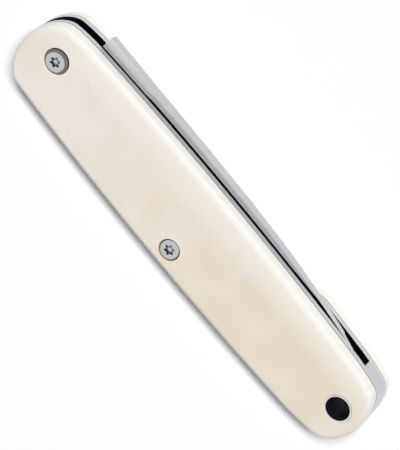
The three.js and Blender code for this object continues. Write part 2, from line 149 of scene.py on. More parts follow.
def blank(name, outline, low, high):
    """A flat blank sawn to an outline, standing from one height to another."""
    bpy.ops.object.select_all(action="DESELECT")
    bpy.ops.mesh.primitive_circle_add(vertices=len(outline), fill_type="NGON")
    piece = bpy.context.object
    piece.name = name
    for corner, (x, y) in zip(piece.data.vertices, outline):
        corner.co = (x, y, low)
    bpy.ops.object.mode_set(mode="EDIT")
    bpy.ops.mesh.select_all(action="SELECT")
    bpy.ops.mesh.extrude_region_move(TRANSFORM_OT_translate={"value": (0, 0, high - low)})
    bpy.ops.mesh.select_all(action="SELECT")
    bpy.ops.mesh.normals_make_consistent(inside=False)
    bpy.ops.object.mode_set(mode="OBJECT")
    return piece


def pick_edges(piece, wanted):
    """Opens a piece in edit mode with the edges selected whose two ends are both wanted."""
    bpy.ops.object.select_all(action="DESELECT")
    piece.select_set(True)
    bpy.context.view_layer.objects.active = piece
    bpy.ops.object.mode_set(mode="EDIT")
    bpy.ops.mesh.select_mode(type="EDGE")
    bpy.ops.mesh.select_all(action="DESELECT")
    shape = bmesh.from_edit_mesh(piece.data)
    for edge in shape.edges:
        edge.select_set(all(wanted(corner.co) for corner in edge.verts))
    shape.select_flush_mode()
    bmesh.update_edit_mesh(piece.data)


def round_rim(piece, height, radius, steps):
    """Rounds the edge all round a blank's face at one height."""
    pick_edges(piece, lambda corner: abs(corner.z - height) < NEARNESS / 2)
    bpy.ops.mesh.bevel(offset=radius, segments=steps, profile=0.5, affect="EDGES")
    bpy.ops.object.mode_set(mode="OBJECT")


def turned(name, place, profile):
    """A piece turned about an upright axis, from a closed profile of radii and heights."""
    bpy.ops.object.select_all(action="DESELECT")
    bpy.ops.mesh.primitive_circle_add(vertices=len(profile))
    piece = bpy.context.object
    piece.name = name
    for point, (radius, height) in zip(piece.data.vertices, profile):
        point.co = (place.x + radius, place.y, height)
    bpy.ops.object.mode_set(mode="EDIT")
    bpy.ops.mesh.select_all(action="SELECT")
    bpy.ops.mesh.spin(steps=TURNED_STEPS, angle=2 * math.pi, center=(place.x, place.y, 0), axis=(0, 0, 1))
    bpy.ops.mesh.select_all(action="SELECT")
    bpy.ops.mesh.remove_doubles(threshold=MERGED)
    bpy.ops.mesh.delete_loose()
    bpy.ops.mesh.select_all(action="SELECT")
    bpy.ops.mesh.normals_make_consistent(inside=False)
    bpy.ops.object.mode_set(mode="OBJECT")
    return piece


def apply_modifier(piece, kind, **settings):
    bpy.ops.object.select_all(action="DESELECT")
    piece.select_set(True)
    bpy.context.view_layer.objects.active = piece
    modifier = piece.modifiers.new(kind.lower(), kind)
    for name, value in settings.items():
        setattr(modifier, name, value)
    bpy.ops.object.modifier_apply(modifier=modifier.name)


def cut_away(piece, tool):
    """Takes the shape of a tool out of a piece, and clears the slivers that the cut leaves."""
    apply_modifier(piece, "BOOLEAN", object=tool, operation="DIFFERENCE", solver="EXACT")
    bpy.data.objects.remove(tool)
    bpy.ops.object.mode_set(mode="EDIT")
    bpy.ops.mesh.select_all(action="SELECT")
    bpy.ops.mesh.remove_doubles(threshold=SLIVER)
    bpy.ops.mesh.dissolve_degenerate(threshold=SLIVER)
    bpy.ops.object.mode_set(mode="OBJECT")


def bore(piece, place, inner, outer, hole, mouth, shoulder, floor=None):
    """A hole from the inner to the outer face that opens to a wider mouth: it widens from the height
    floor, or straight at the shoulder's height where no floor is given."""
    side = 1 if outer > inner else -1
    start = inner - side * OVERRUN
    end = outer + side * OVERRUN
    floor = shoulder if floor is None else floor
    cut_away(piece, turned("cutter", place, [
        (0, start), (hole, start), (hole, floor), (mouth, shoulder), (mouth, end), (0, end)]))


def finish_edges(piece, width):
    """Takes the sharpness off every edge, and shades the curved faces smooth."""
    apply_modifier(piece, "BEVEL", width=width, segments=2, limit_method="ANGLE", angle_limit=SHARP_ANGLE,
                   use_clamp_overlap=True)
    bpy.ops.object.shade_smooth_by_angle(angle=SMOOTH_ANGLE)
    apply_modifier(piece, "WEIGHTED_NORMAL", keep_sharp=True)


def bone_cover(name, inner, outer, notched, pivot_depth):
    """A cover between the heights of its inner and outer face, with its rims rounded and its holes bored."""
    side = 1 if outer > inner else -1
    cover = blank(name, handle_outline(notched), min(inner, outer), max(inner, outer))
    round_rim(cover, outer, COVER_ROUND, COVER_ROUND_STEPS)
    round_rim(cover, inner, GROOVE, 2)
    bore(cover, PIVOT, inner, outer, PIVOT_HOLE, PIVOT_COUNTERBORE, outer - side * pivot_depth)
    bore(cover, CENTRE, inner, outer, CENTRE_HOLE, CENTRE_COUNTERBORE, outer - side * CENTRE_DEPTH)
    bore(cover, TUBE, inner, outer, TUBE_HOLE, TUBE_MOUTH, outer, outer - side * TUBE_FLARE_HEIGHT)
    finish_edges(cover, BONE_BEVEL)
    return cover


def linear(hex_colour):
    """An sRGB hex colour as the linear colour that the shaders take."""
    levels = [int(hex_colour[i:i + 2], 16) / 255 for i in (1, 3, 5)]
    return (*(level / 12.92 if level <= 0.04045 else ((level + 0.055) / 1.055) ** 2.4 for level in levels), 1)


def add_node(tree, kind, inputs, **settings):
    """Adds a shader node with its settings, and sets or links its inputs."""
    node = tree.nodes.new("ShaderNode" + kind)
    for name, value in settings.items():
        setattr(node, name, value)
    for socket, value in inputs.items():
        if isinstance(value, bpy.types.NodeSocket):
            tree.links.new(value, node.inputs[socket])
        else:
            node.inputs[socket].default_value = value
    return node


def new_material(name):
    material = bpy.data.materials.new(name)
    material.use_nodes = True
    tree = material.node_tree
    return material, tree, tree.nodes["Principled BSDF"]


BONE_PALE = "#EEE7E0"
BONE_WARM = "#E7DBC9"
BONE_PAINTED_HIGHLIGHT = "#F4EFE6"
BONE_PAINTED_SHEEN = "#E4E2DD"
BONE_STREAK = "#F7F3EC"
BONE_PORE = "#B5A48A"
BONE_SHADE_IN_HOLES = "#AE9875"
BONE_SEAM = "#ADA498"
STREAK_LENGTH = 9 * MM
STREAK_WIDTH = 0.7 * MM
CLOUD_SIZE = 9 * MM
PALE_END = -30 * MM
WARM_END = 15 * MM
PAINTED_HIGHLIGHT_START = 3 * MM
PAINTED_HIGHLIGHT_END = 9.4 * MM
PORE_SPACING = 3.6 * MM

bone, tree, shader = new_material("polished_cattle_bone")
where = add_node(tree, "TexCoord", {}).outputs["Object"]
clouds = add_node(tree, "TexNoise", {"Vector": where, "Scale": 1 / CLOUD_SIZE, "Detail": 2})
place = add_node(tree, "SeparateXYZ", {0: where})
along_slab = add_node(tree, "MapRange", {
    "Value": place.outputs[0], "From Min": PALE_END, "From Max": WARM_END, "To Min": -0.25, "To Max": 0.25})
mottle = add_node(tree, "Math", {0: clouds.outputs[0], 1: along_slab.outputs[0]}, operation="ADD")
warmth = add_node(tree, "MapRange", {"Value": mottle.outputs[0], "From Min": 0.2, "From Max": 0.8})
across_colour = add_node(tree, "Mix", {0: warmth.outputs[0], 6: linear(BONE_PALE), 7: linear(BONE_WARM)},
                         data_type="RGBA")
# Painted highlight: the bone is painted whiter from 3 mm to 9.4 mm towards the slot edge, for the sheen along
# that edge.
painted_highlight_share = add_node(tree, "MapRange", {
    "Value": place.outputs[1], "From Min": PAINTED_HIGHLIGHT_START, "From Max": PAINTED_HIGHLIGHT_END})
face_colour = add_node(tree, "Mix", {
    0: painted_highlight_share.outputs[0], 6: across_colour.outputs[2], 7: linear(BONE_PAINTED_HIGHLIGHT)}, data_type="RGBA")
# Painted sheen: faces tilted more than about 25 degrees from flat, the walls and the steep rounding, get a
# greyer white for the sheen on them.
facing = add_node(tree, "SeparateXYZ", {0: add_node(tree, "TexCoord", {}).outputs["Normal"]})
upright = add_node(tree, "Math", {0: facing.outputs[2]}, operation="ABSOLUTE")
painted_sheen_share = add_node(tree, "MapRange", {
    "Value": upright.outputs[0], "From Min": 1, "From Max": 0.9, "To Min": 0, "To Max": 1})
body_colour = add_node(tree, "Mix", {
    0: painted_sheen_share.outputs[0], 6: face_colour.outputs[2], 7: linear(BONE_PAINTED_SHEEN)}, data_type="RGBA")
fibres = add_node(tree, "Mapping", {
    "Vector": where, "Scale": (1 / STREAK_LENGTH, 1 / STREAK_WIDTH, 1 / STREAK_WIDTH)})
streaks = add_node(tree, "TexNoise", {"Vector": fibres.outputs[0], "Scale": 1, "Detail": 2})
streak_mask = add_node(tree, "MapRange", {
    "Value": streaks.outputs[0], "From Min": 0.53, "From Max": 0.8, "To Max": 0.25})
streaked = add_node(tree, "Mix", {
    0: streak_mask.outputs[0], 6: body_colour.outputs[2], 7: linear(BONE_STREAK)}, data_type="RGBA")
pores = add_node(tree, "TexVoronoi", {"Vector": where, "Scale": 1 / PORE_SPACING})
pore_spot = add_node(tree, "MapRange", {
    "Value": pores.outputs["Distance"], "From Min": 0.03, "From Max": 0.08, "To Min": 0.45, "To Max": 0})
pore_chosen = add_node(tree, "Math", {0: pores.outputs["Color"], 1: 0.25}, operation="LESS_THAN")
pore_mask = add_node(tree, "Math", {0: pore_spot.outputs[0], 1: pore_chosen.outputs[0]},
                     operation="MULTIPLY")
coloured = add_node(tree, "Mix", {
    0: pore_mask.outputs[0], 6: streaked.outputs[2], 7: linear(BONE_PORE)}, data_type="RGBA")
tree.links.new(coloured.outputs[2], shader.inputs["Base Color"])
shader.inputs["Roughness"].default_value = 0.36
shader.inputs["IOR"].default_value = 1.54

# Painted shade: the walls and floors of the holes get a darker brown than the bone, for the shade in them.
bone_shade_in_holes, tree, shader = new_material("bone_painted_dark_as_shade_in_the_holes")
shader.inputs["Base Color"].default_value = linear(BONE_SHADE_IN_HOLES)
shader.inputs["Roughness"].default_value = 0.8

# A darker bone colour for the faces along the back cover's seam at the liner.
bone_seam, tree, shader = new_material("bone_painted_darker_along_the_seam")
shader.inputs["Base Color"].default_value = linear(BONE_SEAM)
shader.inputs["Roughness"].default_value = 0.9


def paint(piece, material, chosen):
    """Gives another finish to the faces of a piece whose middle and direction are chosen."""
    piece.data.materials.append(material)
    for face in piece.data.polygons:
        if chosen(face.center, face.normal):
            face.material_index = len(piece.data.materials) - 1


def in_a_hole(middle, direction):
    """Tells the walls and floors of the holes from a cover's own faces."""
    for place, radius in ((PIVOT, PIVOT_COUNTERBORE), (CENTRE, CENTRE_COUNTERBORE), (TUBE, TUBE_HOLE)):
        if (middle.xy - place).length < radius + NEARNESS:
            return True
    return False


back_cover = bone_cover("back_bone_cover", COVER_THICKNESS, 0, True, PIVOT_BACK_DEPTH)
back_cover.data.materials.append(bone)
# The holes' walls and floors are painted darker as shade.
paint(back_cover, bone_shade_in_holes, in_a_hole)
# The faces at the inner rim, along the seam at the liner, are painted darker.
paint(back_cover, bone_seam, lambda middle, direction: middle.z > COVER_THICKNESS - GROOVE)
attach(back_cover, "handle")
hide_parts("back_scale")

# Back liner
# Stainless sheet under the back cover, with the same outline and thumb notch, drilled for the two barrels
# and the tube. Its edge is ground flush with the bone, which leaves a satin of fine lengthwise lines, and
# its faces are painted a near black steel as shade.
LINER_THICKNESS = 1.2 * MM
LINER_BEVEL = 0.04 * MM
LINER_COLOUR = "#D4D5D7"
LINER_GRAIN = (6 * MM, 0.05 * MM)
DEEP_SHADE_COLOUR = "#27282C"


def ground_steel(name, colour, roughness, grain, lay, depth=0.004 * MM):
    """Steel with the fine parallel lines of an abrasive belt. The grain is the lines' length and width, and
    the lay says along which axis they run. Lines under 0.05 mm wouldn't show, so they're drawn that wide."""
    steel, tree, shader = new_material(name)
    where = add_node(tree, "TexCoord", {}).outputs["Object"]
    stretch = [1 / grain[1]] * 3
    stretch[lay] = 1 / grain[0]
    mapped = add_node(tree, "Mapping", {"Vector": where, "Scale": stretch})
    lines = add_node(tree, "TexNoise", {
        "Vector": mapped.outputs[0], "Scale": 1, "Detail": 4, "Roughness": 0.6})
    shade = add_node(tree, "MapRange", {
        "Value": lines.outputs[0], "From Min": 0.3, "From Max": 0.7, "To Min": 0.9, "To Max": 1.06})
    tint = add_node(tree, "VectorMath", {0: linear(colour)[:3], "Scale": shade.outputs[0]}, operation="SCALE")
    rough = add_node(tree, "MapRange", {
        "Value": lines.outputs[0], "From Min": 0.3, "From Max": 0.7,
        "To Min": roughness * 0.85, "To Max": roughness * 1.15})
    relief = add_node(tree, "Bump", {"Height": lines.outputs[0], "Strength": 0.3, "Distance": depth})
    tree.links.new(tint.outputs[0], shader.inputs["Base Color"])
    tree.links.new(rough.outputs[0], shader.inputs["Roughness"])
    tree.links.new(relief.outputs[0], shader.inputs["Normal"])
    shader.inputs["Metallic"].default_value = 1
    return steel


def drill(piece, place, radius, low, high):
    cut_away(piece, turned("cutter", place, [
        (0, low - OVERRUN), (radius, low - OVERRUN), (radius, high + OVERRUN), (0, high + OVERRUN)]))


def liner_sheet(name, low, notched):
    """A liner that stands up from the height low, with bright edges and faces painted dark as shade."""
    sheet = blank(name, handle_outline(notched), low, low + LINER_THICKNESS)
    for place, radius in ((PIVOT, PIVOT_HOLE), (CENTRE, CENTRE_HOLE), (TUBE, TUBE_HOLE)):
        drill(sheet, place, radius, low, low + LINER_THICKNESS)
    finish_edges(sheet, LINER_BEVEL)
    sheet.data.materials.append(liner_steel)
    # The liner's faces are painted near black steel as shade.
    paint(sheet, steel_painted_as_deep_shade, lambda middle, direction: abs(direction.z) > 0.5)
    return sheet


liner_steel = ground_steel("belt_ground_stainless_sheet", LINER_COLOUR, 0.6, LINER_GRAIN, 0)

# Painted shade: a near black steel for faces out of the light, in the channel, on the tang and in the screw
# recesses.
steel_painted_as_deep_shade, tree, shader = new_material("steel_painted_dark_as_deep_shade")
shader.inputs["Base Color"].default_value = linear(DEEP_SHADE_COLOUR)
shader.inputs["Metallic"].default_value = 1
shader.inputs["Roughness"].default_value = 0.5

back_liner = liner_sheet("back_steel_liner", COVER_THICKNESS, True)
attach(back_liner, "handle")
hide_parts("back_liner")

# Backspring
# One piece of hardened spring steel, as thick as the blade and its washers: a nose that presses on the
# square tang, a bending arm, a root fixed by the centre barrel, a ramp under the blade's belly and the
# block that fills the butt. Its outer edge is ground flush with the liners.
CHANNEL_LOW = COVER_THICKNESS + LINER_THICKNESS
CHANNEL_HIGH = CHANNEL_LOW + 2.4 * MM
TANG_HALF = 5.2 * MM
SHOULDER = 3.5 * MM
SPRING_END_GAP = 0.06 * MM
NOSE_END_X = PIVOT.x - SHOULDER + SPRING_END_GAP
NOSE_LENGTH = 9.6 * MM
NOSE_SLOPE = 3.4 * MM
ARM_DEPTH = 4.2 * MM
ROOT_START_X = CENTRE.x - 5.3 * MM
ROOT_SLOPE = 6.5 * MM
ROOT_FACE_Y = -3.5 * MM
RAMP_START_X = PIVOT.x + 63 * MM
SLOT_END_X = HALF_LENGTH - 9.05 * MM
BLOCK_FACE_BOTTOM = 3.6 * MM
SPRING_BEVEL = 0.05 * MM
OUTLINE_STEP = 0.1 * MM
SPRING_COLOUR = "#C6C7CA"


def rounded(corners, steps=10):
    """An outline with an arc of the given radius at each corner."""
    points = []
    for i, (x, y, radius) in enumerate(corners):
        corner = Vector((x, y))
        if not radius:
            points.append(corner)
            continue
        back = (Vector(corners[i - 1][:2]) - corner).normalized()
        ahead = (Vector(corners[(i + 1) % len(corners)][:2]) - corner).normalized()
        half = back.angle(ahead) / 2
        middle = corner + (back + ahead).normalized() * radius / math.sin(half)
        start = corner + back * radius / math.tan(half) - middle
        end = corner + ahead * radius / math.tan(half) - middle
        for step in range(steps + 1):
            share = step / steps
            arc = math.pi - 2 * half
            points.append(middle + (start * math.sin((1 - share) * arc) + end * math.sin(share * arc))
                          / math.sin(arc))
    return points


def arm_face(x):
    return handle_edge(x, -1) + ARM_DEPTH


spring_outline = [(NOSE_END_X, handle_edge(NOSE_END_X, -1))]
spring_outline += edge_points(-1, NOSE_END_X + OUTLINE_STEP, HALF_LENGTH)
spring_outline += edge_points(1, SLOT_END_X + OUTLINE_STEP, HALF_LENGTH - SLIVER)[::-1]
ARM_START_X = NOSE_END_X + NOSE_LENGTH + NOSE_SLOPE
ARM_END_X = ROOT_START_X - ROOT_SLOPE
spring_outline += rounded([
    (SLOT_END_X, handle_edge(SLOT_END_X, 1), 0),
    (SLOT_END_X, PIVOT.y + BLOCK_FACE_BOTTOM, 1.5 * MM),
    (RAMP_START_X, ROOT_FACE_Y, 8 * MM),
    (ROOT_START_X, ROOT_FACE_Y, 3 * MM),
    (ARM_END_X, arm_face(ARM_END_X), 5 * MM),
    (ARM_START_X, arm_face(ARM_START_X), 3 * MM),
    (NOSE_END_X + NOSE_LENGTH, PIVOT.y - TANG_HALF, 1.2 * MM),
    (NOSE_END_X, PIVOT.y - TANG_HALF, 0.5 * MM),
    (NOSE_END_X, handle_edge(NOSE_END_X, -1) + 0.5 * MM, 0),
])

spring_steel = ground_steel("belt_ground_spring_steel", SPRING_COLOUR, 0.36, LINER_GRAIN, 0)

backspring = blank("steel_backspring", spring_outline, CHANNEL_LOW, CHANNEL_HIGH)
drill(backspring, CENTRE, CENTRE_HOLE, CHANNEL_LOW, CHANNEL_HIGH)
drill(backspring, TUBE, TUBE_HOLE, CHANNEL_LOW, CHANNEL_HIGH)
finish_edges(backspring, SPRING_BEVEL)
backspring.data.materials.append(spring_steel)
# Painted shade: the spring's faces inside the channel get the near black steel.
paint(backspring, steel_painted_as_deep_shade, lambda middle, direction: abs(direction.z) < 0.5 and
      handle_edge(middle.x, -1) + OUTLINE_STEP < middle.y < handle_edge(middle.x, 1) - OUTLINE_STEP)
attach(backspring, "handle")
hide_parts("backspring")

# Blade
# Stainless blade steel, 2 mm thick at the spine: a square tang bored for the pivot, a flat shoulder, then a
# full flat grind with a plunge line and a small bevel at the edge, and a nail nick on the far side. It is
# satin ground across its length, with its flats brighter than its spine.
BLADE_LOW = 4.48 * MM
BLADE_HIGH = 6.48 * MM
SPINE_HEIGHT = 10.5 * MM
SPINE_DROP_START = 44 * MM
SPINE_DROP_RADIUS = 265 * MM
EDGE_DEPTH = 4 * MM
BELLY_START = 46 * MM
BELLY_POWER = 2.2
TIP_HEIGHT = 0.35 * MM
TIP_ROUND_LENGTH = 4 * MM
TIP_ROUND_DROP = 0.1 * MM
BLADE_REACH = SLOT_END_X - 3.6 * MM - PIVOT.x
TAPER_START = 61.5 * MM
TIP_TAPER = 0.45
TIP_LEAN = 0.05 * MM
KICK_END = 7 * MM
KICK_SLOPE = 1.3 * MM
PLUNGE_START = 16.2 * MM
PLUNGE_LENGTH = 3 * MM
BEVEL_HEIGHT = 1 * MM
BEVEL_HALF = 0.28 * MM
CUTTING_EDGE_HALF = 0.02 * MM
CHOIL_RADIUS = 1.1 * MM
NICK_HEIGHT = 7.4 * MM
NICK_WHEEL_RADIUS = 34 * MM
NICK_WHEEL_WIDTH = 1.7 * MM
NICK_DEPTH = 0.55 * MM
NICK_FACE = 0.9 * MM
NICK_TILT = 0.35
PLUNGE_STEPS = 14
GRIND_STEPS = 90
BLADE_BEVEL = 0.09 * MM
SPINE_COLOUR = "#C5C6C8"
FLAT_COLOUR = "#D8D9DB"
BLADE_GRAIN = (9 * MM, 0.06 * MM)
BLADE_ROUGHNESS = 0.15
BLADE_RELIEF = 0.002 * MM
blade_middle = (BLADE_LOW + BLADE_HIGH) / 2
blade_half = (BLADE_HIGH - BLADE_LOW) / 2


def spine_height(x):
    drop = max(0, x - SPINE_DROP_START)
    into_tip = max(0, 1 - (BLADE_REACH - x) / TIP_ROUND_LENGTH)
    arc = SPINE_HEIGHT - SPINE_DROP_RADIUS + math.sqrt(SPINE_DROP_RADIUS ** 2 - drop ** 2)
    return arc - TIP_ROUND_DROP * into_tip ** 2


def edge_height(x):
    share = max(0, (x - BELLY_START) / (BLADE_REACH - BELLY_START))
    return -EDGE_DEPTH + (spine_height(BLADE_REACH) - TIP_HEIGHT + EDGE_DEPTH) * share ** BELLY_POWER


def into_taper(x):
    return max(0, (x - TAPER_START) / (BLADE_REACH - TAPER_START))


def blade_section(x):
    """The blade's section at a distance from the pivot: height and half thickness, from spine to edge."""
    taper = 1 - TIP_TAPER * into_taper(x)
    past_plunge = min(1, max(0, (x - PLUNGE_START) / PLUNGE_LENGTH))
    ground = past_plunge ** 2 * (3 - 2 * past_plunge)
    spine_half = blade_half * taper
    top = spine_height(x)
    bottom = edge_height(x)
    bevel = bottom + min(BEVEL_HEIGHT, (top - bottom) / 2)
    return [(top, spine_half), (bevel, spine_half + (BEVEL_HALF * taper - spine_half) * ground),
            (bottom, spine_half + (CUTTING_EDGE_HALF - spine_half) * ground)]


blade = blank("ground_steel_blade", [(PIVOT.x + x, PIVOT.y + y) for x, y in rounded([
    (-TANG_HALF, -TANG_HALF, 1.6 * MM),
    (KICK_END, -TANG_HALF, 0.5 * MM),
    (KICK_END + KICK_SLOPE, -EDGE_DEPTH, 0.5 * MM),
    (PLUNGE_START, -EDGE_DEPTH, 0),
    (PLUNGE_START, BEVEL_HEIGHT - EDGE_DEPTH, 0),
    (PLUNGE_START, SPINE_HEIGHT, 0),
    (SHOULDER, SPINE_HEIGHT, 0.2 * MM),
    (SHOULDER, TANG_HALF, 0.3 * MM),
    (-TANG_HALF, TANG_HALF, 1.6 * MM),
])], BLADE_LOW, BLADE_HIGH)
pick_edges(blade, lambda corner: abs(corner.x - PIVOT.x - PLUNGE_START) < NEARNESS / 2)
bpy.ops.mesh.delete(type="ONLY_FACE")
bpy.ops.object.mode_set(mode="OBJECT")

stations = [PLUNGE_START + PLUNGE_LENGTH * (1 - math.cos(math.pi / 2 * step / PLUNGE_STEPS))
            for step in range(PLUNGE_STEPS)]
ground_start = PLUNGE_START + PLUNGE_LENGTH
stations += [ground_start + (BLADE_REACH - ground_start) * math.sin(math.pi / 2 * step / GRIND_STEPS)
             for step in range(GRIND_STEPS + 1)]
bpy.ops.object.select_all(action="DESELECT")
bpy.ops.mesh.primitive_grid_add(x_subdivisions=len(stations) - 1, y_subdivisions=6, size=1)
grind = bpy.context.object
for corner in grind.data.vertices:
    x = stations[round((corner.co.x + 0.5) * (len(stations) - 1))]
    row = round((corner.co.y + 0.5) * 6) % 6
    height, half = blade_section(x)[min(row, 5 - row)]
    lean = blade_middle + TIP_LEAN * into_taper(x)
    corner.co = (PIVOT.x + x, PIVOT.y + height, lean + (half if row < 3 else -half))
blade.select_set(True)
bpy.context.view_layer.objects.active = blade
bpy.ops.object.join()
bpy.ops.object.mode_set(mode="EDIT")
bpy.ops.mesh.select_all(action="SELECT")
bpy.ops.mesh.remove_doubles(threshold=MERGED)
bpy.ops.mesh.delete_loose()
bpy.ops.mesh.select_all(action="DESELECT")
bpy.ops.mesh.select_non_manifold()
bpy.ops.mesh.edge_face_add()
bpy.ops.mesh.select_all(action="SELECT")
bpy.ops.mesh.normals_make_consistent(inside=False)
bpy.ops.object.mode_set(mode="OBJECT")

drill(blade, PIVOT, PIVOT_HOLE, BLADE_LOW, BLADE_HIGH)
drill(blade, PIVOT + Vector((PLUNGE_START - CHOIL_RADIUS, -EDGE_DEPTH)), CHOIL_RADIUS, BLADE_LOW, BLADE_HIGH)
bpy.ops.object.select_all(action="DESELECT")
nick_offset = NICK_WHEEL_RADIUS - NICK_DEPTH
bpy.ops.mesh.primitive_cylinder_add(
    vertices=720, radius=NICK_WHEEL_RADIUS, depth=NICK_WHEEL_WIDTH,
    location=(NOTCH_X, PIVOT.y + NICK_HEIGHT + nick_offset * math.sin(NICK_TILT),
              blade_middle - NICK_FACE - nick_offset * math.cos(NICK_TILT)),
    rotation=(math.pi / 2 + NICK_TILT, 0, 0))
cut_away(blade, bpy.context.object)
finish_edges(blade, BLADE_BEVEL)

spine_steel = ground_steel(
    "satin_ground_spine_steel", SPINE_COLOUR, BLADE_ROUGHNESS, BLADE_GRAIN, 1, BLADE_RELIEF)
flat_steel = ground_steel(
    "finely_ground_blade_flats", FLAT_COLOUR, BLADE_ROUGHNESS, BLADE_GRAIN, 1, BLADE_RELIEF)
blade.data.materials.append(spine_steel)
paint(blade, flat_steel, lambda middle, direction: abs(direction.z) > 0.5)
# Painted shade: the tang's edges, back in the channel, get the near black steel.
paint(blade, steel_painted_as_deep_shade, lambda middle, direction: abs(direction.z) < 0.5 and
      middle.x < PIVOT.x + SHOULDER - OUTLINE_STEP)
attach(blade, "blade")
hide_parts("blade")

# Front liner
# The same stainless sheet on the near side, without the thumb notch.
front_liner = liner_sheet("front_steel_liner", CHANNEL_HIGH, False)
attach(front_liner, "handle")
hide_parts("front_liner")

# Front cover
# The near slab of bone, without the notch, and with a shallower counterbore at the pivot so that the
# screw's head stands proud of it.
FRONT_COVER_LOW = CHANNEL_HIGH + LINER_THICKNESS
FRONT = FRONT_COVER_LOW + COVER_THICKNESS
PIVOT_FRONT_DEPTH = 0.85 * MM

front_cover = bone_cover("front_bone_cover", FRONT_COVER_LOW, FRONT, False, PIVOT_FRONT_DEPTH)
front_cover.data.materials.append(bone)
# The holes' walls and floors are painted darker as shade, as on the back cover.
paint(front_cover, bone_shade_in_holes, in_a_hole)
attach(front_cover, "handle")
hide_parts("front_scale")

# Washers
# Two thin rings stamped from phosphor bronze sheet, one on each side of the tang. The metal is dull and
# a little uneven in colour, as bare bronze gets.
BRONZE_COLOUR = "#B08A52"
BRONZE_DULL = "#8E6E40"
BRONZE_PATCH = 1.5 * MM

bronze, tree, shader = new_material("dull_phosphor_bronze")
where = add_node(tree, "TexCoord", {}).outputs["Object"]
patches = add_node(tree, "TexNoise", {"Vector": where, "Scale": 1 / BRONZE_PATCH, "Detail": 3})
tint = add_node(tree, "Mix", {
    0: patches.outputs[0], 6: linear(BRONZE_COLOUR), 7: linear(BRONZE_DULL)}, data_type="RGBA")
tree.links.new(tint.outputs[2], shader.inputs["Base Color"])
shader.inputs["Metallic"].default_value = 1
shader.inputs["Roughness"].default_value = 0.45
for name in ("washer_back", "washer_front"):
    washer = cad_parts[name]
    washer.data.materials.clear()
    washer.data.materials.append(bronze)

# Barrels
# Threaded sleeves of stainless bar, turned smooth outside: the thick one is the blade's pivot, and the
# thin one holds the spring's root.
SCREW_COLOUR = "#C2C3C6"
SCREW_GRAIN = (0.4 * MM, 0.12 * MM)

screw_steel = ground_steel("turned_stainless_bar", SCREW_COLOUR, 0.2, SCREW_GRAIN, 2)
for name in ("pivot_barrel", "centre_barrel"):
    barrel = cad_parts[name]
    barrel.data.materials.clear()
    barrel.data.materials.append(screw_steel)

# Screws
# Stainless screws with a flat, chamfered head and a six-lobe recess broached over a drilled pilot hole, one
# in each end of each barrel. The front pivot screw's head stands 0.65 mm proud of the bone, and the others
# lie just below it. The pivot screws' chamfers are painted a darker grey as a dark reflection, each recess's
# floor is painted that grey as shade, and its walls a near black steel as deeper shade.
MID_SHADE_COLOUR = "#75767B"
RECESS_RADIUS = 1.2 * MM
RECESS_LOBE = 0.19 * MM
RECESS_DEPTH = 0.45 * MM
RECESS_TURN = math.radians(-8)
RECESS_POINTS = 144
PILOT_RADIUS = 0.5 * MM
PILOT_CONE = 0.35 * MM
SHANK_CHAMFER = 0.2 * MM
SCREW_BEVEL = 0.05 * MM
PIVOT_SCREW = {"head": 2.62 * MM, "height": 1.5 * MM, "chamfer": 0.5 * MM, "shank": 1.25 * MM,
               "length": 3.6 * MM}
CENTRE_SCREW = {"head": 2.25 * MM, "height": 1.1 * MM, "chamfer": 0.25 * MM, "shank": 1 * MM,
                "length": 3.4 * MM}


def screw(name, place, seat, up, head, height, chamfer, shank, length):
    """A screw with the underside of its head at the height seat, which points up (1) or down (-1)."""
    piece = turned(name, place, [(radius, seat + up * z) for radius, z in (
        (0, -length), (shank - SHANK_CHAMFER, -length), (shank, SHANK_CHAMFER - length), (shank, 0),
        (head, 0), (head, height - chamfer), (head - chamfer, height), (0, height))])
    recess = []
    for step in range(RECESS_POINTS):
        angle = 2 * math.pi * step / RECESS_POINTS
        radius = RECESS_RADIUS - RECESS_LOBE * (1 - math.cos(6 * angle))
        recess.append((place.x + radius * math.cos(angle + RECESS_TURN),
                       place.y + radius * math.sin(angle + RECESS_TURN)))
    floor = seat + up * (height - RECESS_DEPTH)
    mouth = seat + up * (height + OVERRUN)
    cut_away(piece, blank("cutter", recess, min(floor, mouth), max(floor, mouth)))
    cut_away(piece, turned("cutter", place, [
        (0, floor - up * PILOT_CONE), (PILOT_RADIUS, floor), (PILOT_RADIUS, mouth), (0, mouth)]))
    finish_edges(piece, SCREW_BEVEL)
    piece.data.materials.append(screw_steel)
    # Painted shade: the recess floor gets the darker grey and its walls the near black steel.
    paint(piece, steel_painted_as_mid_shade, lambda middle, direction: abs(middle.z - floor) < NEARNESS)
    paint(piece, steel_painted_as_deep_shade, lambda middle, direction:
          NEARNESS < up * (middle.z - floor) < RECESS_DEPTH - 3 * NEARNESS
          and (middle.xy - place).length < RECESS_RADIUS + NEARNESS)
    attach(piece, "handle")
    return piece


def on_a_chamfer(middle, direction):
    """Tells the chamfer of a pivot screw's head from its flat face, side and shank."""
    rim = PIVOT_SCREW["head"] - PIVOT_SCREW["chamfer"]
    return 0.35 < abs(direction.z) < 0.93 and (middle.xy - PIVOT).length > rim - NEARNESS


# Painted shade and reflection: a darker grey steel for the pivot screws' chamfers, the recess floors and the
# tube's bore.
steel_painted_as_mid_shade, tree, shader = new_material("steel_painted_grey_as_shade")
shader.inputs["Base Color"].default_value = linear(MID_SHADE_COLOUR)
shader.inputs["Metallic"].default_value = 1
shader.inputs["Roughness"].default_value = 0.4

front_pivot_screw = screw("pivot_screw_near", PIVOT, FRONT - PIVOT_FRONT_DEPTH, 1, **PIVOT_SCREW)
